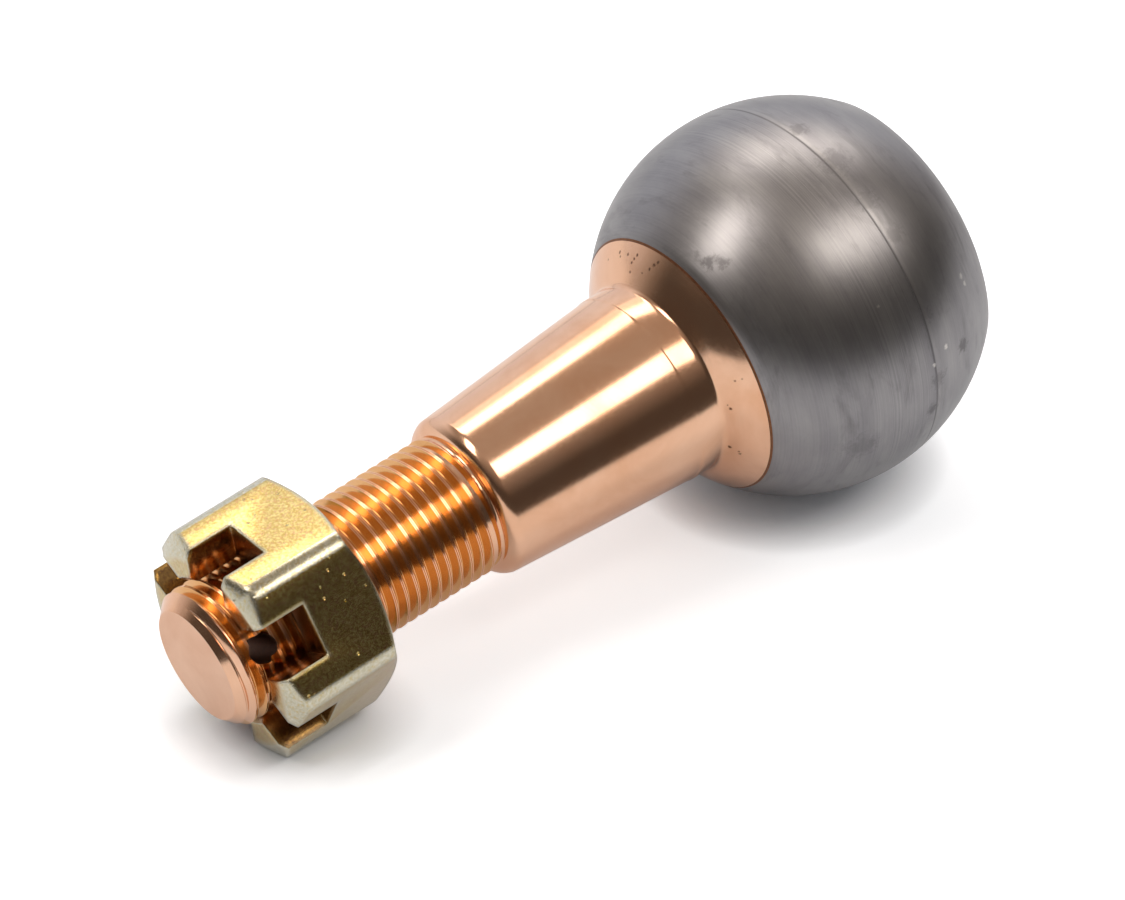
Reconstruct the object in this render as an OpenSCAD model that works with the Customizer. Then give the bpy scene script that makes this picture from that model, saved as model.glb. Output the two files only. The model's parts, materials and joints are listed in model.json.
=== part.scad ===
// Threaded ball stud with a slotted hex nut, lying on a flat floor on its ball and one flat of the nut.
// Every module draws along the stud's own axis: the ball centre is the origin and the threaded end is up +Z.

/* [Ball] */
// Ball diameter
ball_d = 43.5; // [42:0.5:46]
// Distance from the ball centre to the flat on its far end
ball_flat_s = 14.9; // [13:0.1:17]
// Radial width of the edge break round the far flat
ball_edge = 0.5; // [0.2:0.1:1]
// Distance from the ball centre to the edge of the copper plating
plating_s = 15.6; // [14.5:0.1:17]

/* [Shank] */
// Diameter of the plain land next to the ball
land_d = 22.3; // [21.8:0.1:23]
// Length of the plain land from the ball's surface
land_len = 2.9; // [2:0.1:5]
// Fillet between the ball and the land
ball_root_r = 0.8; // [0.4:0.1:1.4]
// Length of the taper
taper_len = 23; // [20:0.1:25]
// Included angle of the taper
taper_angle = 9.2; // [7:0.1:9.6]
// Radius of the round nose at the taper's small end
nose_r = 1.8; // [1.2:0.1:2]
// Angle at which the nose breaks from the taper and from the shoulder
nose_break = 10; // [6:1:14]

/* [Thread] */
// Major diameter of the thread
thread_d = 15.88; // [14:0.02:16.2]
// Length from the first thread to the end face
thread_len = 33.7; // [30:0.1:40]
// Chamfer on the stud's end, along the axis and across it
end_chamfer = 1.5; // [0.6:0.1:1.8]
// Length of the plain neck between the taper and the thread
neck_len = 0.8; // [0.8:0.1:2.5]
// Depth of the neck below the thread's crests
neck_depth = 0.4; // [0.2:0.05:0.7]
// Diameter of the cross hole for the cotter pin
cotter_d = 3.2; // [2:0.1:3.6]
// Distance from the end face to the middle of the cross hole
cotter_from_end = 4.3; // [4:0.1:6]

/* [Nut] */
// Width of the nut across its flats
nut_af = 23.8; // [22:0.1:26]
// Thickness of the nut
nut_t = 13.9; // [12:0.1:16]
// How far the stud's end stands out of the nut
nut_proud = 3.1; // [2:0.1:5]
// Width of the cotter slots
slot_w = 5.9; // [4:0.1:6.5]
// Depth of the cotter slots
slot_depth = 5.7; // [4.5:0.1:7]
// Inset of the corner chamfers from the flats, on both end faces
nut_rim = 0.6; // [0.2:0.1:1.2]
// Angle of the corner chamfers from the end faces
nut_chamfer_angle = 30; // [20:1:40]
// Countersink at both ends of the threaded hole
nut_csk = 0.7; // [0.3:0.1:1]
// Running clearance between the nut and the stud, on the radius
nut_play = 0.05; // [0.03:0.01:0.1]

/* [Hidden] */
// Facets of the round surfaces
$fn = 128;
// Overlap of a cut past the face it opens
over = 1;
// How deep a fillet's circle reaches into the faces it joins
bite = 0.01;
// Corner-to-corner reach of a hexagon for each unit across its flats
hex_reach = 1 / cos(30);

// Radii
ball_r = ball_d / 2;
land_r = land_d / 2;
thread_r = thread_d / 2;
neck_r = thread_r - neck_depth;
bore_r = thread_r + nut_play;

// Stations along the axis from the ball centre
land_s = sqrt(ball_r * ball_r - land_r * land_r);
taper_s = land_s + land_len;
nose_s = taper_s + taper_len;
// Taper radius where the nose begins
nose_start_r = land_r - taper_len * tan(taper_angle / 2);
// Direction from the nose's centre to the edge where the taper ends
nose_turn = taper_angle / 2 + nose_break;
// Centre of the nose's round, across and along the axis
nose_c = [nose_start_r, nose_s] - nose_r * [cos(nose_turn), sin(nose_turn)];
neck_s = nose_c.y + nose_r * cos(nose_break);
// Taper radius carried on to the shoulder
shoulder_r = land_r - (neck_s - taper_s) * tan(taper_angle / 2);
thread_s = neck_s + neck_len;
end_s = thread_s + thread_len;
cotter_s = end_s - cotter_from_end;
nut_back_s = end_s - nut_proud - nut_t;
nut_front_s = nut_back_s + nut_t;

// The nut's corner chamfer leaves a round rim of this radius on each end face
nut_rim_r = nut_af / 2 - nut_rim;
nut_corner_r = nut_af / 2 * hex_reach;
// Where the nut's lowest prong corner touches the floor, along and across the axis
touch_s = nut_front_s - (norm([nut_af / 2, slot_w / 2]) - nut_rim_r) * tan(nut_chamfer_angle);
touch_r = nut_af / 2;
// Slope of the axis when ball and nut both rest on the floor
tilt = asin(ball_r / norm([touch_s, touch_r])) - atan2(touch_r, touch_s);
// Turn of the cross hole from straight up, one slot round towards the side that is seen
cotter_turn = -60;

// Finishes
STEEL = "#77757a";
COPPER = "#c98a5e";
ZINC = "#c9b97a";

// Lays the stud down: the threaded end points to -X and slopes to the floor.
module lying() {
    rotate([0, -90 - tilt, 0]) children();
}

// Outline of the ball from its far flat, with a broken edge, to the edge of the plating.
module ball_outline() {
    flat_r = sqrt(ball_r * ball_r - ball_flat_s * ball_flat_s);
    intersection() {
        circle(ball_r);
        polygon([
            [0, -ball_flat_s],
            [flat_r - ball_edge, -ball_flat_s],
            [ball_r + over, -ball_flat_s + ball_r + over - flat_r + ball_edge],
            [ball_r + over, plating_s],
            [0, plating_s]
        ]);
    }
}

// Outline of the plated cap of the ball, with the fillet that runs it out onto the land.
module root_outline() {
    intersection() {
        circle(ball_r);
        translate([0, plating_s]) square(ball_r);
    }
    reach = ball_r + ball_root_r - bite;
    across = land_r + ball_root_r - bite;
    centre = [across, sqrt(reach * reach - across * across)];
    difference() {
        polygon([
            [0, land_s],
            centre * (land_r / across),
            centre,
            [land_r, centre.y],
            [0, centre.y]
        ]);
        translate(centre) circle(ball_root_r);
    }
}

// Outline of the land and the taper, rounded at the nose.
module shank_outline() {
    difference() {
        polygon([
            [0, plating_s],
            [land_r, plating_s],
            [land_r, taper_s],
            [shoulder_r, neck_s],
            [0, neck_s]
        ]);
        translate(nose_c) difference() {
            square(2 * nose_r);
            circle(nose_r);
        }
    }
}

// Outline of the neck and of the thread at its crests, with a chamfered end.
module thread_outline() {
    polygon([
        [0, nose_s],
        [neck_r, nose_s],
        [neck_r, thread_s - neck_depth],
        [thread_r, thread_s],
        [thread_r, end_s - end_chamfer],
        [thread_r - end_chamfer, end_s],
        [0, end_s]
    ]);
}

// Cross hole for the cotter pin.
module cotter_hole() {
    translate([0, 0, cotter_s]) rotate([0, 90, cotter_turn])
        cylinder(d = cotter_d, h = thread_d + 2 * over, center = true);
}

// The stud: one turned piece, bare steel on the ball and copper plated from there on.
module ball_stud() {
    lying() difference() {
        union() {
            color(STEEL) rotate_extrude() ball_outline();
            color(COPPER) rotate_extrude() {
                root_outline();
                shank_outline();
                thread_outline();
            }
        }
        cotter_hole();
    }
}

// Round body that chamfers the nut's corners at both ends.
module nut_turned() {
    lip = (nut_corner_r + over - nut_rim_r) * tan(nut_chamfer_angle);
    rotate_extrude() polygon([
        [0, 0],
        [nut_rim_r, 0],
        [nut_corner_r + over, lip],
        [nut_corner_r + over, nut_t - lip],
        [nut_rim_r, nut_t],
        [0, nut_t]
    ]);
}

// Threaded hole of the nut, drawn at the crests of the stud's thread, countersunk at both ends.
module nut_hole() {
    translate([0, 0, -over]) cylinder(r = bore_r, h = nut_t + 2 * over);
    cylinder(r1 = bore_r + nut_csk, r2 = bore_r, h = nut_csk);
    translate([0, 0, nut_t - nut_csk]) cylinder(r1 = bore_r, r2 = bore_r + nut_csk, h = nut_csk);
}

// Slotted hex nut with a slot across the middle of each pair of flats.
module castle_nut() {
    color(ZINC) lying() translate([0, 0, nut_back_s]) difference() {
        intersection() {
            rotate(30) cylinder(r = nut_corner_r, h = nut_t, $fn = 6);
            nut_turned();
        }
        nut_hole();
        for (turn = [0, 60, 120])
            rotate(turn) translate([-nut_corner_r, -slot_w / 2, nut_t - slot_depth])
                cube([2 * nut_corner_r, slot_w, slot_depth + over]);
    }
}

ball_stud();
castle_nut();
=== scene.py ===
"""Looks of a threaded ball stud and its slotted nut, lying on a white studio table.

The stud is turned from one outline, its thread is a true screw surface, and the nut is cut from a
hexagon bar. Both are modelled along the stud's own axis, with the ball centre at the origin and the
threaded end up +Z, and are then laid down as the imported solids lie.
"""
import json
import logging
import math
from collections.abc import Callable
from dataclasses import dataclass
from enum import Enum
from functools import partial

import bpy
from mathutils import Matrix, Vector


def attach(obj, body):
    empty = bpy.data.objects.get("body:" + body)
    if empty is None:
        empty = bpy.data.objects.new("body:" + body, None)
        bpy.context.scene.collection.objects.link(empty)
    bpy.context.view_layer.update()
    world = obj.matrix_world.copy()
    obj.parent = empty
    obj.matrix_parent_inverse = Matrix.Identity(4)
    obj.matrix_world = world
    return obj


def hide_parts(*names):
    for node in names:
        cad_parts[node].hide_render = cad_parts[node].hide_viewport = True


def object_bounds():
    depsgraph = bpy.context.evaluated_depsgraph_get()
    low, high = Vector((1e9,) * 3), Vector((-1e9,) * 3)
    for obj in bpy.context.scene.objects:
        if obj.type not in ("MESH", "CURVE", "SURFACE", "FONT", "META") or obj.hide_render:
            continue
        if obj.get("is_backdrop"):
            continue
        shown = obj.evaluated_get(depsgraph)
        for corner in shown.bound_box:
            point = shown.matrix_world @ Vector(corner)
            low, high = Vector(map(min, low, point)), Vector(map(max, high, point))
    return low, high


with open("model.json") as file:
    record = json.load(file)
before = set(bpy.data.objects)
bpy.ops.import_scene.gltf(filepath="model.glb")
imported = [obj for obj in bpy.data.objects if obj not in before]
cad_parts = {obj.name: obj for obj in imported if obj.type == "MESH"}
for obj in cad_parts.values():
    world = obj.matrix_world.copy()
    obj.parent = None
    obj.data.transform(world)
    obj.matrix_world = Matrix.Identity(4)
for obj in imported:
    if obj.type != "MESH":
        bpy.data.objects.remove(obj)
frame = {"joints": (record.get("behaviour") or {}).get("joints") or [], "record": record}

log = logging.getLogger("ball_stud")

MM = 0.001
# Points closer than this are one, in millimetres
WELD = 0.0005
Point = tuple[float, float]
Span = tuple[float, float]
Way = tuple[float, float, float]
Colour = tuple[float, float, float, float]
Material = bpy.types.Material
Node = bpy.types.Node
Piece = bpy.types.Object
Socket = bpy.types.NodeSocket
Adder = Callable[..., Node]

# Turns of the nut's three slots
SLOT_TURNS = tuple(math.radians(degrees) for degrees in (0, 60, 120))
# Size of the fraying of a spot's edge, in millimetres
SPOT_FRAY_MM = 0.625
# How far a spot's edge is frayed, and where it is full and where it ends, in its own radii
SPOT_FRAY = 3.0
SPOT_EDGE = (1.9, 2.6)


class Slot(Enum):
    """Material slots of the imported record."""

    STUD = "stud_steel"
    NUT = "nut_zinc"


class StudFinish(Enum):
    """Places of the stud's finishes on its mesh."""

    STEEL = 0
    COPPER = 1
    DRILLED = 2
    # Thread flanks and valleys: a deeper orange copy of the plating, painted light bounced between the
    # flanks
    THREAD = 3


class NutFinish(Enum):
    """Places of the nut's finishes on its mesh."""

    FACE = 0
    EDGE = 1
    # Inside the slots and bore: the milled finish, darkened as painted shade
    MILLED_SHADED = 2


class Cut(Enum):
    """Ways in which one solid works on another."""

    KEEP_COMMON = "INTERSECT"
    JOIN = "UNION"
    REMOVE = "DIFFERENCE"


def linear(hex_colour: str) -> Colour:
    """Turns an sRGB hex colour into linear light.

    Args:
        hex_colour: six hex digits after a hash sign.
    Returns:
        Red, green, blue and an alpha of one.
    """
    parts = [int(hex_colour[i:i + 2], 16) / 255 for i in (1, 3, 5)]
    light = [c / 12.92 if c <= 0.04045 else ((c + 0.055) / 1.055) ** 2.4 for c in parts]
    return (light[0], light[1], light[2], 1.0)


def plug(node: Node, inputs: dict) -> None:
    """Fills a node's inputs.

    Args:
        node: the node.
        inputs: for each named or numbered input a value, a socket, or a node whose open output is linked.
    """
    for key, value in inputs.items():
        if isinstance(value, Node):
            value = next(socket for socket in value.outputs if socket.enabled)
        if isinstance(value, Socket):
            node.id_data.links.new(value, node.inputs[key])
        else:
            node.inputs[key].default_value = value


def add_node(tree: bpy.types.NodeTree, kind: str, inputs: dict | None = None, **settings: object) -> Node:
    """Adds a node to a tree, with its settings, values and links.

    Args:
        tree: the node tree.
        kind: the node's type name.
        inputs: what is plugged into it.
        settings: the node's own properties.
    Returns:
        The new node.
    """
    node = tree.nodes.new(kind)
    for key, value in settings.items():
        setattr(node, key, value)
    plug(node, inputs or {})
    return node


def choose(*objects: Piece) -> None:
    """Selects only these objects and makes the first one active.

    Args:
        objects: what is selected.
    """
    bpy.ops.object.select_all(action="DESELECT")
    for obj in objects:
        obj.select_set(True)
    bpy.context.view_layer.objects.active = objects[0]


def arc(centre: Point, radius: float, start: float, end: float, steps: int) -> list[Point]:
    """Points of an arc in the outline's plane.

    Args:
        centre: the arc's centre, across and along the axis.
        radius: its radius.
        start: first angle from the outward direction, in degrees, turning towards the threaded end.
        end: last angle.
        steps: number of chords.
    Returns:
        The points from start to end.
    """
    angles = [math.radians(start + (end - start) * i / steps) for i in range(steps + 1)]
    return [(centre[0] + radius * math.cos(a), centre[1] + radius * math.sin(a)) for a in angles]


def draw_outline(name: str, outline: list[Point]) -> Piece:
    """Draws an open outline by extruding one vertex from point to point.

    Args:
        name: the new object's name.
        outline: points across and along the axis, in millimetres.
    Returns:
        The object, still in edit mode with everything selected.
    """
    bpy.ops.mesh.primitive_plane_add(size=MM, location=(0, 0, 0))
    obj = bpy.context.object
    obj.name = name
    bpy.ops.object.mode_set(mode="EDIT")
    bpy.ops.mesh.select_mode(type="VERT")
    bpy.ops.mesh.select_all(action="SELECT")
    bpy.ops.mesh.merge(type="CENTER")
    at = Vector((0, 0, 0))
    for index, (across, along) in enumerate(outline):
        to = Vector((across * MM, 0, along * MM))
        if index == 0:
            bpy.ops.transform.translate(value=to - at)
        else:
            bpy.ops.mesh.extrude_region_move(TRANSFORM_OT_translate={"value": to - at})
        at = to
    bpy.ops.mesh.select_all(action="SELECT")
    return obj


def close_up() -> None:
    """Merges doubles in the mesh being edited, turns its faces outwards and leaves edit mode."""
    bpy.ops.mesh.select_all(action="SELECT")
    bpy.ops.mesh.remove_doubles(threshold=WELD * MM)
    bpy.ops.mesh.normals_make_consistent(inside=False)
    bpy.ops.object.mode_set(mode="OBJECT")


def turn(name: str, outline: list[Point], steps: int) -> Piece:
    """Turns an outline into a solid of revolution about the stud's axis.

    Args:
        name: the new object's name.
        outline: points from axis to axis, in millimetres.
        steps: facets round the axis.
    Returns:
        The closed mesh object.
    """
    obj = draw_outline(name, outline)
    bpy.ops.mesh.spin(steps=steps, angle=math.tau, center=(0, 0, 0), axis=(0, 0, 1))
    close_up()
    return obj


def carve(target: Piece, tool: Piece, how: Cut) -> None:
    """Works one solid with another and throws the tool away.

    Args:
        target: the solid that stays.
        tool: the solid that is used up.
        how: what is kept.
    """
    choose(target)
    cut = target.modifiers.new(how.name, "BOOLEAN")
    cut.operation = how.value
    cut.solver = "EXACT"
    cut.object = tool
    bpy.ops.object.modifier_apply(modifier=cut.name)
    bpy.data.objects.remove(tool)


@dataclass(frozen=True)
class Lie:
    """How the stud lies: the slope of its axis and the turn that brings models there."""

    slope: float

    @classmethod
    def from_axis(cls, axis: list[float]) -> "Lie":
        """Reads the slope from the nut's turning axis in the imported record."""
        return cls(math.atan2(-axis[2], -axis[0]))

    @property
    def turn_y(self) -> float:
        """Turn about Y that takes the model's +Z to the lying axis."""
        return -math.pi / 2 - self.slope

    def down(self, obj: Piece) -> None:
        """Lays a finished model down, with its place kept in its mesh.

        Args:
            obj: the model.
        """
        choose(obj)
        obj.matrix_world = Matrix.Rotation(self.turn_y, 4, "Y") @ obj.matrix_world
        bpy.ops.object.transform_apply()

    def model_mm(self, add: Adder) -> Node:
        """Adds nodes that give the place on the standing model, in millimetres.

        Args:
            add: adds a node to a material.
        Returns:
            The node whose vector it is.
        """
        coords = add("ShaderNodeTexCoord")
        return add("ShaderNodeMapping", {
            "Vector": coords.outputs["Object"],
            "Rotation": (0, -self.turn_y, 0),
            "Scale": (1 / MM, 1 / MM, 1 / MM),
        })


@dataclass(frozen=True)
class Spot:
    """A mark on the ball: station, angle from straight up towards the viewer, radius and strength."""

    station: float
    angle: float
    radius: float
    strength: float

    def place(self, ball_r: float) -> Way:
        """The mark's middle on the standing model, in millimetres.

        Args:
            ball_r: the ball's radius in millimetres.
        Returns:
            The point.
        """
        reach = math.sqrt(ball_r ** 2 - self.station ** 2)
        angle = math.radians(self.angle)
        return (reach * math.cos(angle), -reach * math.sin(angle), self.station)


def add_spots(
    add: Adder, place: Node, under: Node | float, ball_r: float, spots: tuple[Spot, ...],
) -> Node | float:
    """Adds ragged spots on the ball to a mask.

    Args:
        add: adds a node to the material.
        place: the place on the standing model, in millimetres.
        under: the mask that the spots are laid over.
        ball_r: the ball's radius in millimetres.
        spots: the spots.
    Returns:
        The mask, as a node if there are any spots.
    """
    ragged = add("ShaderNodeTexNoise", {
        "Vector": place, "Scale": 1 / SPOT_FRAY_MM, "Detail": 5.0, "Roughness": 0.7,
    })
    mask = under
    for spot in spots:
        apart = add("ShaderNodeVectorMath", {0: place, 1: spot.place(ball_r)}, operation="DISTANCE")
        frayed = add("ShaderNodeMath", {
            0: ragged, 1: SPOT_FRAY * spot.radius, 2: apart,
        }, operation="MULTIPLY_ADD")
        inside = add("ShaderNodeMapRange", {
            "Value": frayed, "From Min": SPOT_EDGE[1] * spot.radius, "From Max": SPOT_EDGE[0] * spot.radius,
            "To Max": spot.strength,
        })
        mask = add("ShaderNodeMath", {0: mask, 1: inside}, operation="MAXIMUM")
    return mask


def start_material(name: str) -> tuple[Material, Adder, Node]:
    """Starts a material, as a metal.

    Args:
        name: the material's name.
    Returns:
        The material, the function that adds a node to it, and its main shader.
    """
    material = bpy.data.materials.new(name)
    material.use_nodes = True
    tree = material.node_tree
    tree.nodes.clear()
    add = partial(add_node, tree)
    shader = add("ShaderNodeBsdfPrincipled", {"Metallic": 1.0})
    add("ShaderNodeOutputMaterial", {"Surface": shader.outputs["BSDF"]})
    return material, add, shader


@dataclass(frozen=True)
class TurnedSteel:
    """Bare carbon steel, fine turned: a satin grey that smears highlights across its rings.

    The rings are about 0.1 mm apart on such a ball, and are drawn at about 0.2 mm so that they show.
    The seam's groove holds a dark line of painted shade, with a pale line of painted highlight beside it.
    """

    pale: str = "#a6a4a4"
    dark: str = "#7e7c80"
    # Colour of the stains and smears, and of the painted shade in the seam's groove
    stain_and_seam_shade: str = "#5d5a5c"
    # Colour of the painted highlight beside the seam and of a few bright flecks
    bright: str = "#d8d4cf"
    ring_mm: float = 0.22
    patch_mm: float = 3.0
    stain_mm: float = 2.2
    stretch: Way = (0.3, 0.3, 1.0)
    smear_span: Span = (0.54, 0.74)
    smear: float = 0.4
    seam_s: float = -2.1
    # The seam's dark line of painted shade, then the pale line of painted highlight beside it: offset, half
    # width, strength
    seam_half: float = 0.2
    seam_shade: float = 0.65
    glint_off: float = 0.4
    glint_half: float = 0.25
    glint: float = 0.1
    seam_blend: float = 0.1
    far_rings: float = 0.25
    full_rings_mm: float = 2.7
    faint_rings_mm: float = 9.0
    faint_rings: float = 0.35
    ring_tone: float = 1.15
    tone_span: Span = (0.1, 0.85)
    roughness: float = 0.36
    ring_rough: float = 0.2
    stain_rough: float = 0.12
    ring_relief: float = 0.4
    ring_depth_mm: float = 0.02
    stains: tuple[Spot, ...] = (
        Spot(13.7, 18, 0.9, 0.6), Spot(12.9, 22, 0.8, 0.5), Spot(14.0, 13, 0.6, 0.35),
        Spot(-6.9, 88, 1.0, 0.6), Spot(-1.5, 102, 0.9, 0.6), Spot(-3.3, 2, 1.2, 0.4),
        Spot(-3.2, 18, 2.0, 0.35), Spot(-2.9, 33, 1.5, 0.35), Spot(-3.4, 45, 1.3, 0.3),
        Spot(-2.6, 70, 1.0, 0.35), Spot(-2.4, 92, 1.2, 0.4), Spot(7.6, 104, 2.2, 0.3),
    )
    flecks: tuple[Spot, ...] = (
        Spot(-4.1, 83, 0.35, 0.8), Spot(-2.0, 86, 0.3, 0.7), Spot(-9.4, 68, 0.35, 0.6),
        Spot(-9.6, 71, 0.3, 0.6), Spot(2.4, 60, 0.2, 0.5),
    )

    def make(self, lie: Lie, ball_r: float) -> Material:
        """Makes the steel.

        Args:
            lie: how the stud lies.
            ball_r: the ball's radius in millimetres.
        Returns:
            The material.
        """
        material, add, shader = start_material("carbon steel, fine turned and bare")
        place = lie.model_mm(add)
        axes = add("ShaderNodeSeparateXYZ", {0: place})
        station = axes.outputs["Z"]
        rings = add("ShaderNodeTexNoise", {
            "W": station, "Scale": 1 / self.ring_mm, "Detail": 4.0, "Roughness": 0.7,
        }, noise_dimensions="1D")
        drawn_out = add("ShaderNodeMapping", {"Vector": place, "Scale": self.stretch})
        patch = add("ShaderNodeTexNoise", {
            "Vector": drawn_out, "Scale": 1 / self.patch_mm, "Detail": 5.0, "Roughness": 0.6,
        })
        smear = add("ShaderNodeTexNoise", {
            "Vector": drawn_out, "Scale": 1 / self.stain_mm, "Detail": 6.0, "Roughness": 0.65,
            "Distortion": 0.5,
        })
        smeared = add("ShaderNodeMapRange", {
            "Value": smear, "From Min": self.smear_span[0], "From Max": self.smear_span[1],
            "To Max": self.smear,
        })
        # A dark line of painted shade in the seam's groove, and a pale line of painted highlight beside it
        seam_shade_and_glint_lines = []
        for middle, half, strength in (
            (self.seam_s, self.seam_half, self.seam_shade),
            (self.seam_s - self.glint_off, self.glint_half, self.glint),
        ):
            off = add("ShaderNodeMath", {0: station, 1: middle}, operation="SUBTRACT")
            apart = add("ShaderNodeMath", {0: off}, operation="ABSOLUTE")
            seam_shade_and_glint_lines.append(add("ShaderNodeMapRange", {
                "Value": apart, "From Min": half, "From Max": half / 3, "To Max": strength,
            }))
        seam_shade_and_smears = add("ShaderNodeMath", {0: seam_shade_and_glint_lines[0], 1: smeared}, operation="MAXIMUM")
        # The painted seam shade joins the stains and smears
        stains_and_seam_shade = add_spots(add, place, seam_shade_and_smears, ball_r, self.stains)
        # The pale line of painted highlight beside the seam, with a few bright flecks
        glint_and_flecks = add_spots(add, place, seam_shade_and_glint_lines[1], ball_r, self.flecks)
        before_seam = add("ShaderNodeMapRange", {
            "Value": station, "From Min": self.seam_s - self.seam_blend,
            "From Max": self.seam_s + self.seam_blend, "To Min": self.far_rings,
        })
        fading = add("ShaderNodeMapRange", {
            "Value": station, "From Min": self.seam_s + self.full_rings_mm,
            "From Max": self.seam_s + self.faint_rings_mm, "To Min": 1.0, "To Max": self.faint_rings,
        })
        depth = add("ShaderNodeMath", {0: before_seam, 1: fading}, operation="MULTIPLY")
        level = add("ShaderNodeMath", {0: rings, 1: 0.5}, operation="SUBTRACT")
        ringed = add("ShaderNodeMath", {0: level, 1: depth}, operation="MULTIPLY")
        tone = add("ShaderNodeMath", {0: ringed, 1: self.ring_tone, 2: patch}, operation="MULTIPLY_ADD")
        toned = add("ShaderNodeMapRange", {
            "Value": tone, "From Min": self.tone_span[0], "From Max": self.tone_span[1],
        })
        colour = linear(self.dark)
        for share, over in ((toned, self.pale), (stains_and_seam_shade, self.stain_and_seam_shade), (glint_and_flecks, self.bright)):
            colour = add("ShaderNodeMix", {
                "Factor": share, "A": colour, "B": linear(over),
            }, data_type="RGBA")
        rough = add("ShaderNodeMath", {
            0: ringed, 1: self.ring_rough, 2: self.roughness,
        }, operation="MULTIPLY_ADD")
        rougher = add("ShaderNodeMath", {
            0: stains_and_seam_shade, 1: self.stain_rough, 2: rough,
        }, operation="MULTIPLY_ADD")
        bump = add("ShaderNodeBump", {
            "Strength": self.ring_relief, "Distance": self.ring_depth_mm * MM, "Height": ringed,
        })
        plug(shader, {"Base Color": colour, "Roughness": rougher, "Normal": bump})
        return material


@dataclass(frozen=True)
class CopperPlate:
    """Copper plating over polished steel: a warm mirror with a faint turned grain and a few dark pits."""

    name: str
    bright: str = "#f4c6a6"
    warm: str = "#e7b28e"
    pit: str = "#5a3420"
    grain_mm: float = 0.12
    cloud_mm: float = 9.0
    haze_mm: float = 0.35
    cloud_span: Span = (0.35, 0.7)
    roughness: float = 0.16
    haze_rough: float = 0.14
    cloud_rough: float = 0.1
    grain_relief: float = 0.2
    grain_depth_mm: float = 0.004
    pits: tuple[Spot, ...] = (
        Spot(16.98, -39, 0.18, 0.7), Spot(16.54, -28.6, 0.22, 0.9), Spot(16.85, -27.6, 0.16, 0.8),
        Spot(16.61, -21.8, 0.2, 0.8), Spot(16.49, -15.2, 0.22, 0.9), Spot(16.8, -16.4, 0.18, 0.9),
        Spot(17.1, -17.6, 0.16, 0.8), Spot(16.24, -1.5, 0.2, 0.7), Spot(16.6, -3.0, 0.2, 0.7),
        Spot(17.0, -4.5, 0.2, 0.7), Spot(17.7, -17.1, 0.15, 0.8), Spot(17.46, -8.3, 0.16, 0.8),
        Spot(18.06, 78.8, 0.22, 0.9), Spot(18.2, 76.5, 0.14, 0.8), Spot(18.35, 106.2, 0.2, 0.9),
        Spot(17.69, 109.6, 0.22, 0.9), Spot(17.8, 108.0, 0.16, 0.8), Spot(17.17, 64.3, 0.14, 0.7),
        Spot(16.65, 64.3, 0.14, 0.7),
    )

    def make(self, lie: Lie, ball_r: float) -> Material:
        """Makes the plating.

        Args:
            lie: how the stud lies.
            ball_r: the ball's radius in millimetres.
        Returns:
            The material.
        """
        material, add, shader = start_material(self.name)
        place = lie.model_mm(add)
        axes = add("ShaderNodeSeparateXYZ", {0: place})
        grain = add("ShaderNodeTexNoise", {
            "W": axes.outputs["Z"], "Scale": 1 / self.grain_mm, "Detail": 3.0, "Roughness": 0.6,
        }, noise_dimensions="1D")
        cloud = add("ShaderNodeTexNoise", {
            "Vector": place, "Scale": 1 / self.cloud_mm, "Detail": 5.0, "Roughness": 0.6, "Distortion": 0.6,
        })
        tint = add("ShaderNodeMapRange", {
            "Value": cloud, "From Min": self.cloud_span[0], "From Max": self.cloud_span[1],
        })
        haze = add("ShaderNodeTexNoise", {
            "Vector": place, "Scale": 1 / self.haze_mm, "Detail": 4.0, "Roughness": 0.7,
        })
        pitted = add_spots(add, place, 0.0, ball_r, self.pits)
        colour = linear(self.bright)
        for share, over in ((tint, self.warm), (pitted, self.pit)):
            colour = add("ShaderNodeMix", {
                "Factor": share, "A": colour, "B": linear(over),
            }, data_type="RGBA")
        hazed = add("ShaderNodeMath", {
            0: haze, 1: self.haze_rough, 2: self.roughness - (self.haze_rough + self.cloud_rough) / 2,
        }, operation="MULTIPLY_ADD")
        rough = add("ShaderNodeMath", {0: cloud, 1: self.cloud_rough, 2: hazed}, operation="MULTIPLY_ADD")
        bump = add("ShaderNodeBump", {
            "Strength": self.grain_relief, "Distance": self.grain_depth_mm * MM, "Height": grain,
        })
        plug(shader, {"Base Color": colour, "Roughness": rough, "Normal": bump})
        return material


@dataclass(frozen=True)
class DrilledHole:
    """Metal inside a drilled hole: dark brown and ridged."""

    pale: str = "#a06f50"
    dark: str = "#5c3c2a"
    ridge_mm: float = 0.3
    roughness: float = 0.45
    ridge_rough: float = 0.2

    def make(self, lie: Lie) -> Material:
        """Makes the hole's finish.

        Args:
            lie: how the stud lies.
        Returns:
            The material.
        """
        material, add, shader = start_material("dark brown metal, drilled")
        ridges = add("ShaderNodeTexNoise", {
            "Vector": lie.model_mm(add), "Scale": 1 / self.ridge_mm, "Detail": 3.0,
        })
        colour = add("ShaderNodeMix", {
            "Factor": ridges, "A": linear(self.dark), "B": linear(self.pale),
        }, data_type="RGBA")
        rough = add("ShaderNodeMath", {
            0: ridges, 1: self.ridge_rough, 2: self.roughness - self.ridge_rough / 2,
        }, operation="MULTIPLY_ADD")
        plug(shader, {"Base Color": colour, "Roughness": rough})
        return material


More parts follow.
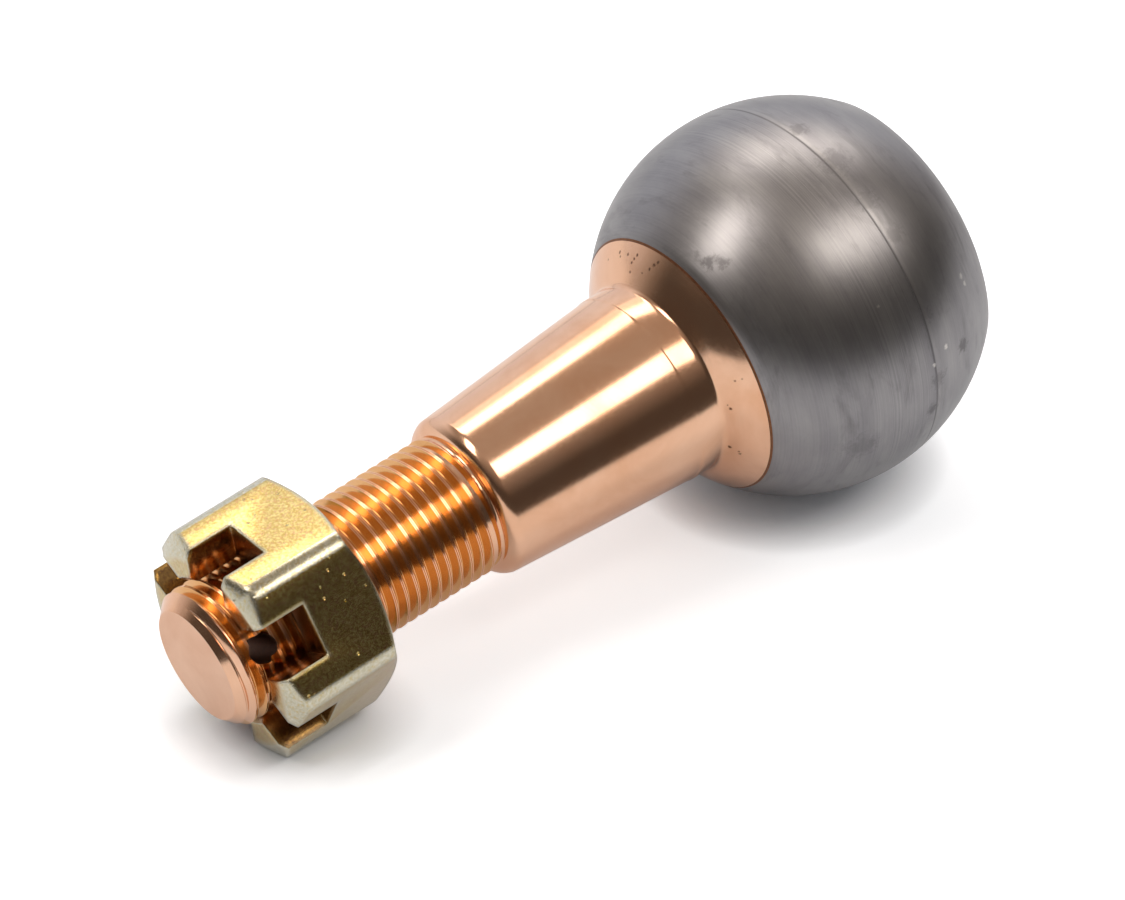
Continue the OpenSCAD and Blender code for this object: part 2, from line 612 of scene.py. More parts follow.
@dataclass(frozen=True)
class Rubbed:
    """Where the nut's plating is rubbed pale: its corners, chamfers and slot edges, in millimetres."""

    back_s: float
    front_s: float
    rim_r: float
    corner_r: float
    slope: float
    slot_half: float
    slot_s: float
    reach: float = 0.45
    corner_reach: float = 0.35
    fray: float = 0.8
    blend: float = 0.45

    def mask(self, add: Adder, place: Node, ragged: Node) -> Node:
        """Adds nodes that find the rubbed edges.

        Args:
            add: adds a node to the material.
            place: the place on the standing model, in millimetres.
            ragged: a noise that frays the rubbed bands.
        Returns:
            The mask, one where the plating is rubbed.
        """
        along = add("ShaderNodeSeparateXYZ", {0: place}).outputs["Z"]
        flat = add("ShaderNodeVectorMath", {0: place, 1: (1, 1, 0)}, operation="MULTIPLY")
        out = add("ShaderNodeVectorMath", {0: flat}, operation="LENGTH")
        fray = add("ShaderNodeMath", {
            0: ragged, 1: self.fray, 2: -self.fray / 2,
        }, operation="MULTIPLY_ADD")
        corner = add("ShaderNodeMath", {
            0: out, 1: self.corner_r - self.corner_reach,
        }, operation="SUBTRACT")
        lean = add("ShaderNodeMath", {
            0: out, 1: self.slope, 2: -self.rim_r * self.slope,
        }, operation="MULTIPLY_ADD")
        front = add("ShaderNodeMath", {0: along, 1: self.front_s - self.reach}, operation="SUBTRACT")
        back = add("ShaderNodeMath", {0: self.back_s + self.reach, 1: along}, operation="SUBTRACT")
        ends = add("ShaderNodeMath", {0: front, 1: back}, operation="MAXIMUM")
        chamfer = add("ShaderNodeMath", {0: ends, 1: lean}, operation="ADD")
        above = add("ShaderNodeMath", {0: along, 1: self.slot_s - self.reach}, operation="SUBTRACT")
        worn = add("ShaderNodeMath", {0: corner, 1: chamfer}, operation="MAXIMUM")
        for turned in SLOT_TURNS:
            across = (-math.sin(turned), math.cos(turned), 0)
            side = add("ShaderNodeVectorMath", {0: place, 1: across}, operation="DOT_PRODUCT")
            off = add("ShaderNodeMath", {0: side}, operation="ABSOLUTE")
            near = add("ShaderNodeMath", {0: self.slot_half + self.reach, 1: off}, operation="SUBTRACT")
            both = add("ShaderNodeMath", {0: near, 1: above}, operation="MINIMUM")
            worn = add("ShaderNodeMath", {0: worn, 1: both}, operation="MAXIMUM")
        frayed = add("ShaderNodeMath", {0: worn, 1: fray}, operation="ADD")
        return add("ShaderNodeMapRange", {"Value": frayed, "From Min": 0.0, "From Max": self.blend})


@dataclass(frozen=True)
class YellowZinc:
    """Zinc plating under a yellow chromate film: saturated gold below a clear skin, mottled in fine flecks.

    The flecks are some 0.1 mm wide on the real film, and are drawn at about 0.3 mm so that they show.
    """

    name: str
    gold: str = "#b8993e"
    pale: str = "#d0c07e"
    rose: str = "#c2986a"
    silver: str = "#c9c3a8"
    fleck_mm: float = 0.3
    fleck_span: Span = (0.38, 0.62)
    tinge_mm: float = 0.375
    tinge_shift: Way = (7.3, 3.1, 5.7)
    tinge_span: Span = (0.5, 0.65)
    tinge: float = 0.8
    blotch_mm: float = 2.5
    dent_mm: float = 1.5
    dent_span: Span = (0.03, 0.13)
    dent_depth: float = 1.6
    roughness: float = 0.21
    fleck_rough: float = 0.2
    fleck_depth: float = 0.2
    relief: float = 0.8
    relief_mm: float = 0.06
    film: float = 1.0
    film_rough: float = 0.25
    worn_edge_mm: float = 0.8
    edge_samples: int = 6

    def make(self, lie: Lie, rubbed: Rubbed | None = None) -> Material:
        """Makes the plating.

        Args:
            lie: how the stud lies.
            rubbed: where the film is rubbed through to pale zinc, if anywhere.
        Returns:
            The material.
        """
        material, add, shader = start_material(self.name)
        place = lie.model_mm(add)
        fleck = add("ShaderNodeTexNoise", {
            "Vector": place, "Scale": 1 / self.fleck_mm, "Detail": 3.0, "Roughness": 0.7,
        })
        moved = add("ShaderNodeVectorMath", {0: place, 1: self.tinge_shift}, operation="ADD")
        tinge = add("ShaderNodeTexNoise", {
            "Vector": moved, "Scale": 1 / self.tinge_mm, "Detail": 3.0, "Roughness": 0.7,
        })
        flecked = add("ShaderNodeMapRange", {
            "Value": fleck, "From Min": self.fleck_span[0], "From Max": self.fleck_span[1],
        })
        tinged = add("ShaderNodeMapRange", {
            "Value": tinge, "From Min": self.tinge_span[0], "From Max": self.tinge_span[1],
            "To Max": self.tinge,
        })
        layers = [(flecked, self.pale), (tinged, self.rose)]
        if rubbed is not None:
            blotch = add("ShaderNodeTexNoise", {
                "Vector": place, "Scale": 1 / self.blotch_mm, "Detail": 5.0, "Roughness": 0.7,
                "Distortion": 0.5,
            })
            layers.append((rubbed.mask(add, place, blotch), self.silver))
        colour = linear(self.gold)
        for share, over in layers:
            colour = add("ShaderNodeMix", {
                "Factor": share, "A": colour, "B": linear(over),
            }, data_type="RGBA")
        rough = add("ShaderNodeMath", {
            0: fleck, 1: self.fleck_rough, 2: self.roughness - self.fleck_rough / 2,
        }, operation="MULTIPLY_ADD")
        cells = add("ShaderNodeTexVoronoi", {"Vector": place, "Scale": 1 / self.dent_mm})
        dents = add("ShaderNodeMapRange", {
            "Value": cells.outputs["Distance"], "From Min": self.dent_span[0], "From Max": self.dent_span[1],
            "To Min": -self.dent_depth, "To Max": 0.0,
        })
        surface = add("ShaderNodeMath", {
            0: fleck, 1: self.fleck_depth, 2: dents,
        }, operation="MULTIPLY_ADD")
        soft = add("ShaderNodeBevel", {"Radius": self.worn_edge_mm * MM}, samples=self.edge_samples)
        bump = add("ShaderNodeBump", {
            "Strength": self.relief, "Distance": self.relief_mm * MM, "Height": surface, "Normal": soft,
        })
        plug(shader, {
            "Base Color": colour, "Roughness": rough, "Normal": bump,
            "Coat Weight": self.film, "Coat Roughness": self.film_rough,
        })
        return material


@dataclass(frozen=True)
class TablePaper:
    """White table paper: matt, lit to white where nothing shades it."""

    white: str = "#eef1f7"
    lift: float = 0.5
    mirrored_lift: float = 0.08
    roughness: float = 0.9
    shaded_mm: float = 6.5
    shade_power: float = 2.0
    shade_samples: int = 8

    def make(self) -> Material:
        """Makes the paper, with a little light of its own that fails where the part stands close over it.

        Returns:
            The material.
        """
        material, add, shader = start_material("white table paper, matt")
        path = add("ShaderNodeLightPath")
        mirrored = add("ShaderNodeMath", {
            0: path.outputs["Is Glossy Ray"], 1: path.outputs["Is Transmission Ray"],
        }, operation="MAXIMUM")
        faint = add("ShaderNodeMath", {0: mirrored, 1: self.mirrored_lift}, operation="MULTIPLY")
        lift = add("ShaderNodeMath", {
            0: path.outputs["Is Camera Ray"], 1: self.lift, 2: faint,
        }, operation="MULTIPLY_ADD")
        near = add("ShaderNodeAmbientOcclusion", {
            "Distance": self.shaded_mm * MM,
        }, samples=self.shade_samples)
        clear = add("ShaderNodeMath", {0: near.outputs["AO"], 1: self.shade_power}, operation="POWER")
        lit = add("ShaderNodeMath", {0: lift, 1: clear}, operation="MULTIPLY")
        plug(shader, {
            "Metallic": 0.0, "Roughness": self.roughness, "Base Color": linear(self.white),
            "Emission Color": (1, 1, 1, 1), "Emission Strength": lit,
        })
        return material


@dataclass
class BallStud:
    """The turned stud: ball, plated root, land, taper, nose, neck, thread and cross hole, in millimetres."""

    lie: Lie
    ball_r: float
    hole_r: float
    hole_s: float
    taper_mid_s: float
    taper_len: float
    flat_s: float = 14.9
    flat_edge: float = 0.5
    flat_round: float = 0.8
    rim_inset: float = 0.1
    rim_rise: float = 0.03
    rim_bulge: Point = (0.55, 0.5)
    rim_reach: float = 1.9
    seam_s: float = 2.1
    seam_w: float = 0.28
    seam_depth: float = 0.06
    seam_runout: float = 0.6
    seam_slope: float = 0.7
    plating_s: float = 15.6
    plating_w: float = 0.2
    plating_depth: float = 0.07
    land_r: float = 11.15
    land_step: float = 0.06
    edge_hold: float = 0.05
    edge_drop: float = 0.02
    root_round: float = 0.8
    taper_half_angle: float = 4.6
    taper_parts: tuple[float, ...] = (0.008, 0.012, 0.2, 0.4, 0.6, 0.8, 0.99)
    nose_r: float = 1.8
    nose_break: float = 10.0
    neck_r: float = 7.54
    neck_round: float = 0.25
    neck_depth: float = 0.4
    thread_r: float = 7.94
    thread_len: float = 33.7
    neck_len: float = 0.8
    pitch: float = 25.4 / 18
    crest_w: float = 0.3
    crest_seam: float = 0.05
    seam_drop: float = 0.09
    root_r: float = 0.12
    flank_angle: float = 30.0
    foot_part: float = 0.06
    end_chamfer: float = 1.5
    spare_turns: int = 2
    trim_turns: Span = (1.21, 0.41)
    trim_weld: float = 0.0001
    core_dip: float = 0.02
    core_inset: float = 0.5
    core_reach: float = 0.3
    blank_inset: float = 0.6
    blank_back: float = 0.2
    blank_over: float = 0.01
    crest_skin: float = 0.02
    hole_turn: float = -60.0
    smooth_angle: float = 32.0
    round_steps: int = 192
    screw_steps: int = 120
    hole_steps: int = 64

    def __post_init__(self) -> None:
        """Works out the stations that follow from the sizes."""
        self.taper_s = self.taper_mid_s - self.taper_len / 2
        self.nose_s = self.taper_mid_s + self.taper_len / 2
        self.nose_start_r = self.land_r - self.taper_len * math.tan(math.radians(self.taper_half_angle))
        turn_angle = math.radians(self.taper_half_angle + self.nose_break)
        self.nose_c = (
            self.nose_start_r - self.nose_r * math.cos(turn_angle),
            self.nose_s - self.nose_r * math.sin(turn_angle),
        )
        self.neck_s = self.nose_c[1] + self.nose_r * math.cos(math.radians(self.nose_break))
        self.thread_s = self.neck_s + self.neck_len
        self.end_s = self.thread_s + self.thread_len
        flank = math.tan(math.radians(90 - self.flank_angle))
        half = self.pitch / 2 - self.crest_w / 2
        tangent = math.radians(90 - self.flank_angle)
        self.root_touch = (self.root_r * math.sin(tangent), self.root_r * math.cos(tangent))
        self.valley_c = self.thread_r - (half - self.root_touch[0]) * flank + self.root_touch[1]
        self.valley_r = self.valley_c - self.root_r

    def on_ball(self, station: float, sunk: float = 0.0) -> Point:
        """A point of the outline on the ball's surface, or sunk below it."""
        return (math.sqrt((self.ball_r - sunk) ** 2 - station ** 2), station)

    def ball_arc(self, start: float, end: float) -> list[Point]:
        """The ball's outline between two stations, in chords of about three degrees."""
        low, high = (math.degrees(math.asin(s / self.ball_r)) for s in (start, end))
        return arc((0, 0), self.ball_r, low, high, max(1, round((high - low) / 3)))

    def groove(self, station: float, width: float, depth: float) -> list[Point]:
        """The bottom of a fine ring cut into the ball."""
        return [self.on_ball(station - width / 6, depth), self.on_ball(station + width / 6, depth)]

    def seam(self) -> list[Point]:
        """The step where two turning cuts meet: a fine ring with a shallow run-out behind it."""
        return [
            self.on_ball(-self.seam_s - self.seam_runout),
            self.on_ball(-self.seam_s - self.seam_w / 2, self.seam_depth * self.seam_slope),
            self.on_ball(-self.seam_s, self.seam_depth),
            self.on_ball(-self.seam_s + self.seam_w / 4),
        ]

    def body_outline(self) -> list[Point]:
        """Outline of the stud from its far flat to inside the thread's core.

        Returns:
            Points from axis to axis.
        """
        flat_r = math.sqrt(self.ball_r ** 2 - self.flat_s ** 2) - self.flat_edge
        rim = [
            (0, -self.flat_s),
            (flat_r - self.flat_round, -self.flat_s),
            (flat_r - self.rim_inset, -self.flat_s + self.rim_rise),
            (flat_r + self.flat_edge * self.rim_bulge[0], -self.flat_s + self.flat_edge * self.rim_bulge[1]),
        ]
        edge_s = -self.flat_s + self.flat_edge * self.rim_reach
        reach = self.ball_r + self.root_round
        across = self.land_r + self.root_round
        root_c = (across, math.sqrt(reach ** 2 - across ** 2))
        lean = math.degrees(math.atan2(root_c[1], across))
        root_touch_s = self.ball_r * math.sin(math.radians(lean))
        taper = [
            (self.land_r - self.land_step * (1 - part) + (self.nose_start_r - self.land_r) * part,
             self.taper_s + self.taper_len * part)
            for part in self.taper_parts
        ]
        nose_turn = self.taper_half_angle + self.nose_break
        foot = (self.neck_r + self.neck_round, self.neck_s + self.neck_round)
        runout = self.thread_s + self.pitch
        return [
            *rim,
            *self.ball_arc(edge_s, -self.seam_s - self.seam_runout)[:-1],
            *self.seam(),
            *self.ball_arc(-self.seam_s + self.seam_w / 4, self.plating_s - self.plating_w / 2)[1:],
            *self.groove(self.plating_s, self.plating_w, self.plating_depth),
            *self.ball_arc(self.plating_s + self.plating_w / 2, root_touch_s)[:-1],
            *arc(root_c, self.root_round, 180 + lean, 180, 6),
            (self.land_r, root_c[1] + self.edge_hold * 2),
            (self.land_r, self.taper_s - self.edge_hold),
            (self.land_r - self.edge_drop, self.taper_s + self.edge_hold),
            *taper,
            *arc(self.nose_c, self.nose_r, nose_turn, 90 - self.nose_break, 10),
            *arc(foot, self.neck_round, 270, 180, 4),
            (self.neck_r, self.thread_s - self.neck_depth),
            (self.valley_r - self.core_dip, runout),
            (self.valley_r - self.core_inset, runout + self.core_reach),
            (0, runout + self.core_reach),
        ]

    def thread_outline(self) -> list[Point]:
        """One pitch of the thread, from valley to valley, with round roots and seamed rolled crests.

        Returns:
            Points across and along the axis.
        """
        angles = [math.radians((90 - self.flank_angle) * i / 3) for i in range(4)]
        half = [(self.valley_c - self.root_r * math.cos(a), self.root_r * math.sin(a)) for a in angles]
        foot_r, foot_u = half[-1]
        edge = self.pitch / 2 - self.crest_w / 2
        half += [
            (foot_r + self.foot_part * (self.thread_r - foot_r), foot_u + self.foot_part * (edge - foot_u)),
            (self.thread_r, edge),
            (self.thread_r, self.pitch / 2 - self.crest_seam),
            (self.thread_r - self.seam_drop, self.pitch / 2),
        ]
        mirrored = [(r, self.pitch - u) for r, u in reversed(half[:-1])]
        return half + mirrored

    def build_thread(self) -> Piece:
        """Screws one pitch up the stud and trims it to the chamfered blank.

        Returns:
            The closed threaded rod.
        """
        start = self.neck_s - self.spare_turns * self.pitch
        turns = math.ceil((self.end_s - start) / self.pitch) + self.spare_turns
        rod = draw_outline("thread", [(r, start + u) for r, u in self.thread_outline()])
        bpy.ops.object.mode_set(mode="OBJECT")
        screw = rod.modifiers.new("screw", "SCREW")
        screw.axis = "Z"
        screw.angle = math.tau
        screw.screw_offset = self.pitch * MM
        screw.iterations = turns
        screw.steps = screw.render_steps = self.screw_steps
        choose(rod)
        bpy.ops.object.modifier_apply(modifier=screw.name)
        bpy.ops.object.mode_set(mode="EDIT")
        bpy.ops.mesh.select_all(action="SELECT")
        bpy.ops.mesh.remove_doubles(threshold=WELD * MM)
        low, high = start + self.trim_turns[0] * self.pitch, self.end_s + self.trim_turns[1] * self.pitch
        for station, way in ((low, -1), (high, 1)):
            bpy.ops.mesh.select_all(action="SELECT")
            bpy.ops.mesh.bisect(
                plane_co=(0, 0, station * MM), plane_no=(0, 0, way), use_fill=True, clear_outer=True,
                threshold=self.trim_weld * MM,
            )
        close_up()
        inside = self.neck_r - self.blank_inset
        outside = self.thread_r + self.blank_over
        back = self.neck_s - self.blank_back
        blank = turn("blank", [
            (0, back),
            (inside, back),
            (outside, back + outside - inside),
            (outside, self.end_s - self.end_chamfer),
            (self.thread_r - self.end_chamfer, self.end_s),
            (0, self.end_s),
        ], self.round_steps)
        carve(rod, blank, Cut.KEEP_COMMON)
        return rod

    def build_hole(self) -> Piece:
        """Makes the drill for the cross hole.

        Returns:
            The cutting tool.
        """
        bpy.ops.mesh.primitive_cylinder_add(
            vertices=self.hole_steps, radius=self.hole_r * MM, depth=3 * self.thread_r * MM,
            location=(0, 0, self.hole_s * MM), rotation=(0, math.pi / 2, math.radians(self.hole_turn)),
        )
        drill = bpy.context.object
        bpy.ops.object.transform_apply()
        return drill

    def build(self, steel: Material, copper: Material, drilled: Material, thread: Material) -> Piece:
        """Models the stud and lays it down.

        Args:
            steel: the bare ball's finish.
            copper: the plated shank's finish.
            drilled: the finish of the cross hole and of the ring at the plating's edge.
            thread: the plated thread's flanks and valleys, a deeper orange that paints light bounced between
                them.
        Returns:
            The finished piece.
        """
        stud = turn("turned_stud", self.body_outline(), self.round_steps)
        rod = self.build_thread()
        drill = self.build_hole()
        for piece in (stud, rod, drill):
            for material in (steel, copper, drilled, thread):
                piece.data.materials.append(material)
        for face in stud.data.polygons:
            past = face.center.z - self.plating_s * MM
            finish = StudFinish.STEEL if past < 0 else StudFinish.COPPER
            if abs(past) < self.plating_w * MM / 2:
                finish = StudFinish.DRILLED
            face.material_index = finish.value
        for face in drill.data.polygons:
            face.material_index = StudFinish.DRILLED.value
        # Crests and the end chamfer keep the plating; flanks and valleys take the deeper orange of painted
        # bounce light
        for face in rod.data.polygons:
            crest = math.hypot(face.center.x, face.center.y) > (self.thread_r - self.crest_skin) * MM
            chamfer = face.center.z >= (self.end_s - self.end_chamfer) * MM
            finish = StudFinish.COPPER if crest or chamfer else StudFinish.THREAD
            face.material_index = finish.value
        carve(rod, drill, Cut.REMOVE)
        carve(stud, rod, Cut.JOIN)
        choose(stud)
        bpy.ops.object.shade_smooth_by_angle(angle=math.radians(self.smooth_angle))
        self.lie.down(stud)
        return stud


@dataclass
class SlottedNut:
    """The slotted hex nut, in millimetres, from its plain face at nut_s."""

    lie: Lie
    nut_s: float
    across_flats: float = 23.8
    thick: float = 13.9
    slot_w: float = 5.9
    slot_depth: float = 5.7
    rim: float = 0.6
    chamfer_angle: float = 30.0
    bore_r: float = 7.99
    countersink: float = 0.7
    corner_round: float = 1.1
    corner_steps: int = 4
    corner_loss: float = 0.155
    edge_round: float = 0.3
    edge_steps: int = 3
    edge_angle: float = 24.0
    smooth_angle: float = 40.0
    over: float = 1.0
    round_steps: int = 192

    def __post_init__(self) -> None:
        """Works out the stations and radii that follow from the sizes."""
        self.front_s = self.nut_s + self.thick
        self.corner_r = self.across_flats / 2 / math.cos(math.radians(30))
        self.rim_r = self.across_flats / 2 - self.rim
        self.slope = math.tan(math.radians(self.chamfer_angle))

    def rubbed(self) -> Rubbed:
        """Where its plating is rubbed pale."""
        return Rubbed(
            self.nut_s, self.front_s, self.rim_r, self.corner_r - self.corner_round * self.corner_loss,
            self.slope, self.slot_w / 2, self.front_s - self.slot_depth,
        )

    def build(self, face: Material, edge: Material, milled_and_shaded: Material) -> Piece:
        """Models the nut and lays it down.

        Args:
            face: the finish of its flats and ends.
            edge: the finish of its rounded corners and chamfers.
            milled_and_shaded: the finish inside its slots and bore, darkened as painted shade.
        Returns:
            The finished piece.
        """
        finishes = (face, edge, milled_and_shaded)
        bpy.ops.mesh.primitive_cylinder_add(
            vertices=6, radius=self.corner_r * MM, depth=self.thick * MM,
            location=(0, 0, (self.nut_s + self.thick / 2) * MM),
        )
        nut = bpy.context.object
        nut.name = "slotted_nut"
        bpy.ops.object.transform_apply()
        self.paint_all(nut, finishes, NutFinish.FACE)
        self.round_corners(nut)
        wide = self.corner_r + self.over
        lip = (wide - self.rim_r) * self.slope
        low, high = self.nut_s, self.front_s
        turned = turn("chamfered_blank", [
            (0, low), (self.rim_r, low), (wide, low + lip),
            (wide, high - lip), (self.rim_r, high), (0, high),
        ], self.round_steps)
        self.paint_all(turned, finishes, NutFinish.EDGE)
        carve(nut, turned, Cut.KEEP_COMMON)
        mouth_r = self.bore_r + self.countersink + self.over
        bore = turn("bore", [
            (0, low - self.over), (mouth_r, low - self.over), (self.bore_r, low + self.countersink),
            (self.bore_r, high - self.countersink), (mouth_r, high + self.over), (0, high + self.over),
        ], self.round_steps)
        self.paint_all(bore, finishes, NutFinish.MILLED_SHADED)
        carve(nut, bore, Cut.REMOVE)
        for turned_by in SLOT_TURNS:
            bpy.ops.mesh.primitive_cube_add(
                size=MM, location=(0, 0, high * MM), rotation=(0, 0, turned_by),
                scale=(4 * self.across_flats, self.slot_w, 2 * self.slot_depth),
            )
            bar = bpy.context.object
            bpy.ops.object.transform_apply()
            self.paint_all(bar, finishes, NutFinish.MILLED_SHADED)
            carve(nut, bar, Cut.REMOVE)
        choose(nut)
        soft = nut.modifiers.new("soft_edges", "BEVEL")
        soft.width = self.edge_round * MM
        soft.segments = self.edge_steps
        soft.limit_method = "ANGLE"
        soft.angle_limit = math.radians(self.edge_angle)
        soft.material = NutFinish.EDGE.value
        bpy.ops.object.modifier_apply(modifier=soft.name)
        bpy.ops.object.shade_smooth_by_angle(angle=math.radians(self.smooth_angle))
        self.lie.down(nut)
        return nut

    def paint_all(self, solid: Piece, finishes: tuple[Material, ...], finish: NutFinish) -> None:
        """Gives a solid the nut's finishes, with one of them on all its faces.

        Args:
            solid: the nut's bar or a tool that cuts it.
            finishes: the nut's materials, in order.
            finish: the one that shows.
        """
        for material in finishes:
            solid.data.materials.append(material)
        for polygon in solid.data.polygons:
            polygon.material_index = finish.value

    def round_corners(self, nut: Piece) -> None:
        """Rounds the six upright corners of the bar.

        Args:
            nut: the hexagon bar.
        """
        choose(nut)
        bpy.ops.object.mode_set(mode="EDIT")
        bpy.ops.mesh.select_mode(type="EDGE")
        bpy.ops.mesh.select_all(action="DESELECT")
        bpy.ops.object.mode_set(mode="OBJECT")
        for edge in nut.data.edges:
            ends = [nut.data.vertices[v].co for v in edge.vertices]
            edge.select = abs(ends[0].z - ends[1].z) > self.thick * MM / 2
        bpy.ops.object.mode_set(mode="EDIT")
        bpy.ops.mesh.bevel(
            offset=self.corner_round * MM, segments=self.corner_steps, affect="EDGES",
            material=NutFinish.EDGE.value,
        )
        bpy.ops.object.mode_set(mode="OBJECT")


@dataclass(frozen=True)
class SoftBox:
    """A studio soft box: its place from the ball, its size, its strength and the way of its long side."""

    name: str
    place: Way
    long_side: float
    short_side: float
    radiance: float
    along: Way
    tint: str = "#fff7ee"

    def hang(self) -> None:
        """Hangs the box facing the ball."""
        lamp = bpy.data.lights.new(self.name, "AREA")
        lamp.shape = "RECTANGLE"
        lamp.size = self.long_side
        lamp.size_y = self.short_side
        lamp.energy = self.radiance * math.pi * self.long_side * self.short_side
        lamp.color = linear(self.tint)[:3]
        obj = bpy.data.objects.new(self.name, lamp)
        bpy.context.scene.collection.objects.link(obj)
        back = Vector(self.place).normalized()
        side = (Vector(self.along) - back * Vector(self.along).dot(back)).normalized()
        facing = Matrix((side, back.cross(side), back)).transposed().to_4x4()
        obj.matrix_world = Matrix.Translation(self.place) @ facing
        obj.visible_camera = False


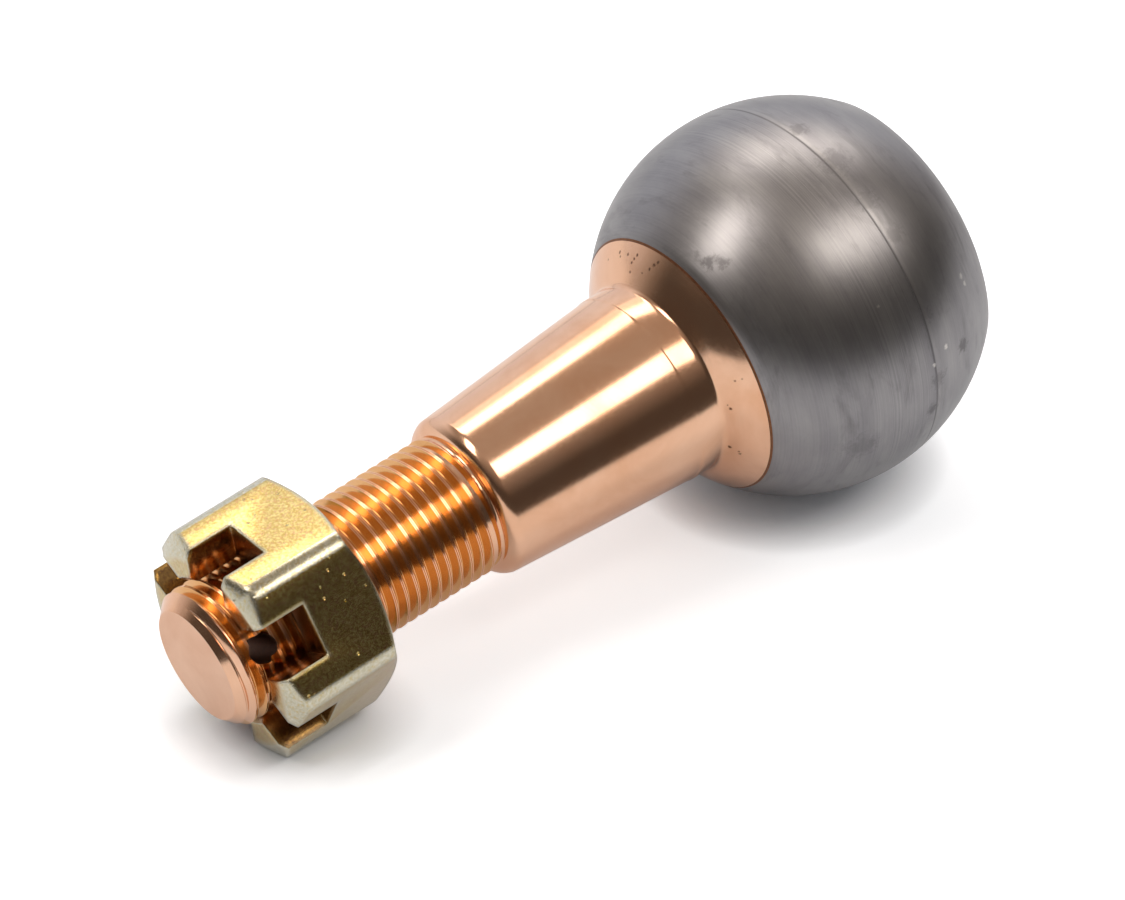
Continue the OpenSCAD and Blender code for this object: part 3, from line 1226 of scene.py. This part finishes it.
@dataclass
class Studio:
    """Table, soft boxes, dim room and camera."""

    floor_z: float
    view_azimuth: float = -37.81
    view_elevation: float = 36.62
    view_roll: float = -1.27
    aim: Way = (-25.65, 7.67, -13.01)
    distance: float = 608.6
    lens: float = 179.56
    sensor: float = 36.0
    table_front: float = -0.125
    table_left: float = -0.35
    table_reach: float = 3.0
    clip: Span = (0.01, 100.0)
    room_low: float = 0.07
    room_high: float = 0.42
    overhead_z: Span = (0.3, 0.95)
    room_fill: float = 0.26
    backdrop: float = 0.85
    backdrop_span: Span = (0.1, 0.85)
    backdrop_top_z: Span = (0.45, 0.75)
    room_tint: str = "#ffefe0"
    backdrop_tint: str = "#f1f5ff"
    backdrop_way: Way = (0.4, 0.917, 0.0)

    def build(self) -> None:
        """Sets up everything round the part."""
        self.lay_table()
        for box in (
            SoftBox("soft_box_behind", (0.375, 0.46, 0.825), 1.00, 0.27, 3.7, (1, -0.5, -0.1)),
            SoftBox("reflector_behind", (0.45, 0.64, 0.68), 1.00, 0.22, 1.0, (1, -0.5, -0.1)),
            SoftBox("soft_box_front", (0.26, -0.54, 0.80), 0.85, 0.36, 3.4, (1, 0, 0)),
            SoftBox("soft_box_left", (-0.56, 0.20, 0.80), 0.60, 0.28, 5.7, (1, 0, 0)),
        ):
            box.hang()
        self.light_room()
        self.place_camera()

    def lay_table(self) -> None:
        """Lays the paper, whose front and left edges are near the part and whose back is far away."""
        deep = self.table_reach - self.table_front
        wide = self.table_reach - self.table_left
        bpy.ops.mesh.primitive_plane_add(
            size=1, location=(self.table_left + wide / 2, self.table_front + deep / 2, self.floor_z),
        )
        table = bpy.context.object
        table.name = "table"
        table.scale = (wide, deep, 1)
        bpy.ops.object.transform_apply()
        table.data.materials.append(TablePaper().make())
        table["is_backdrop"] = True

    def light_room(self) -> None:
        """Makes the room: white behind the view, dim to the metal, a little brighter overhead."""
        world = bpy.data.worlds.new("dim studio")
        bpy.context.scene.world = world
        world.use_nodes = True
        tree = world.node_tree
        tree.nodes.clear()
        add = partial(add_node, tree)
        coords = add("ShaderNodeTexCoord")
        axes = add("ShaderNodeSeparateXYZ", {0: coords.outputs["Generated"]})
        overhead = add("ShaderNodeMapRange", {
            "Value": axes.outputs["Z"], "From Min": self.overhead_z[0], "From Max": self.overhead_z[1],
            "To Min": self.room_low, "To Max": self.room_high,
        })
        behind = add("ShaderNodeVectorMath", {
            0: coords.outputs["Generated"], 1: self.backdrop_way,
        }, operation="DOT_PRODUCT")
        backdrop = add("ShaderNodeMapRange", {
            "Value": behind, "From Min": self.backdrop_span[0], "From Max": self.backdrop_span[1],
            "To Max": self.backdrop,
        }, interpolation_type="SMOOTHSTEP")
        below_top = add("ShaderNodeMapRange", {
            "Value": axes.outputs["Z"], "From Min": self.backdrop_top_z[1],
            "From Max": self.backdrop_top_z[0],
        }, interpolation_type="SMOOTHSTEP")
        screen = add("ShaderNodeMath", {0: backdrop, 1: below_top}, operation="MULTIPLY")
        room = add("ShaderNodeMath", {0: screen, 1: overhead}, operation="ADD")
        path = add("ShaderNodeLightPath")
        dim = add("ShaderNodeMix", {
            "Factor": path.outputs["Is Diffuse Ray"], "A": room, "B": self.room_fill,
        }, data_type="FLOAT")
        bright = add("ShaderNodeMix", {
            "Factor": path.outputs["Is Camera Ray"], "A": dim, "B": 1.0,
        }, data_type="FLOAT")
        shade = add("ShaderNodeMix", {
            "Factor": screen, "A": linear(self.room_tint), "B": linear(self.backdrop_tint),
        }, data_type="RGBA")
        tint = add("ShaderNodeMix", {
            "Factor": path.outputs["Is Glossy Ray"], "A": (1, 1, 1, 1), "B": shade,
        }, data_type="RGBA")
        sky = add("ShaderNodeBackground", {"Color": tint, "Strength": bright})
        add("ShaderNodeOutputWorld", {"Surface": sky.outputs["Background"]})

    def place_camera(self) -> None:
        """Puts the camera at the photograph's viewing angle."""
        lens = bpy.data.cameras.new("camera")
        lens.lens = self.lens
        lens.sensor_width = self.sensor
        lens.clip_start, lens.clip_end = self.clip
        camera = bpy.data.objects.new("camera", lens)
        bpy.context.scene.collection.objects.link(camera)
        turned, raised = math.radians(self.view_azimuth), math.radians(self.view_elevation)
        back = Vector((
            math.sin(turned) * math.cos(raised),
            -math.cos(turned) * math.cos(raised),
            math.sin(raised),
        ))
        place = Vector(self.aim) * MM + back * self.distance * MM
        facing = (-back).to_track_quat("-Z", "Y").to_matrix().to_4x4()
        roll = Matrix.Rotation(math.radians(self.view_roll), 4, "Z")
        camera.matrix_world = Matrix.Translation(place) @ facing @ roll
        bpy.context.scene.camera = camera


def main() -> None:
    """Builds the stud, the nut and the studio in order."""
    logging.basicConfig(level=logging.INFO, format="%(name)s: %(message)s")
    cad_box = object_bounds()
    mounts = {mount["name"]: mount for mount in frame["record"]["mounts"]}
    joint = frame["joints"][0]
    axis = Vector(joint["axis"])
    lie = Lie.from_axis(joint["axis"])

    def station(name: str) -> float:
        """Station of a mount along the stud's axis, in millimetres."""
        return Vector(mounts[name]["pos_m"]).dot(axis) / MM

    ball_r = mounts["ball"]["dims"]["r_mm"]
    steel = TurnedSteel().make(lie, ball_r)
    copper = CopperPlate("copper plating, polished").make(lie, ball_r)
    # The thread's flanks and valleys: a deeper orange copy of the plating, as painted light bounced between
    # the flanks
    thread = CopperPlate(
        "copper plating, thread flanks in painted bounce light", "#ebb57b", "#dfa569", roughness=0.18, pits=(),
    ).make(lie, ball_r)
    stud = BallStud(
        lie, ball_r, mounts["cotter_hole"]["dims"]["r_mm"], station("cotter_hole"),
        station("taper"), mounts["taper"]["dims"]["length_mm"],
    ).build(steel, copper, DrilledHole().make(lie), thread)
    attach(stud, "stud")
    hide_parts("ball_stud")
    log.info("turned_stud has %d faces", len(stud.data.polygons))

    slotted = SlottedNut(lie, station("nut_seat"))
    zinc = YellowZinc("yellow chromated zinc plating, flat faces").make(lie, slotted.rubbed())
    worn = YellowZinc(
        "yellow chromated zinc plating, rubbed edges", "#c0bb9e", "#d6d2c0", "#c8b47a",
    ).make(lie)
    # Inside the slots and bore: a darker brown copy of the plating, painted shade in these recesses
    milled_and_shaded = YellowZinc(
        "yellow chromated zinc plating, milled slots", "#8f6a2c", "#a98545", "#7d5322",
    ).make(lie)
    nut = slotted.build(zinc, worn, milled_and_shaded)
    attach(nut, "nut")
    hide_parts("castle_nut")
    log.info("slotted_nut has %d faces", len(nut.data.polygons))

    Studio(floor_z=cad_box[0].z).build()
    bpy.context.scene.view_settings.view_transform = "Standard"


if __name__ == "__main__":
    main()
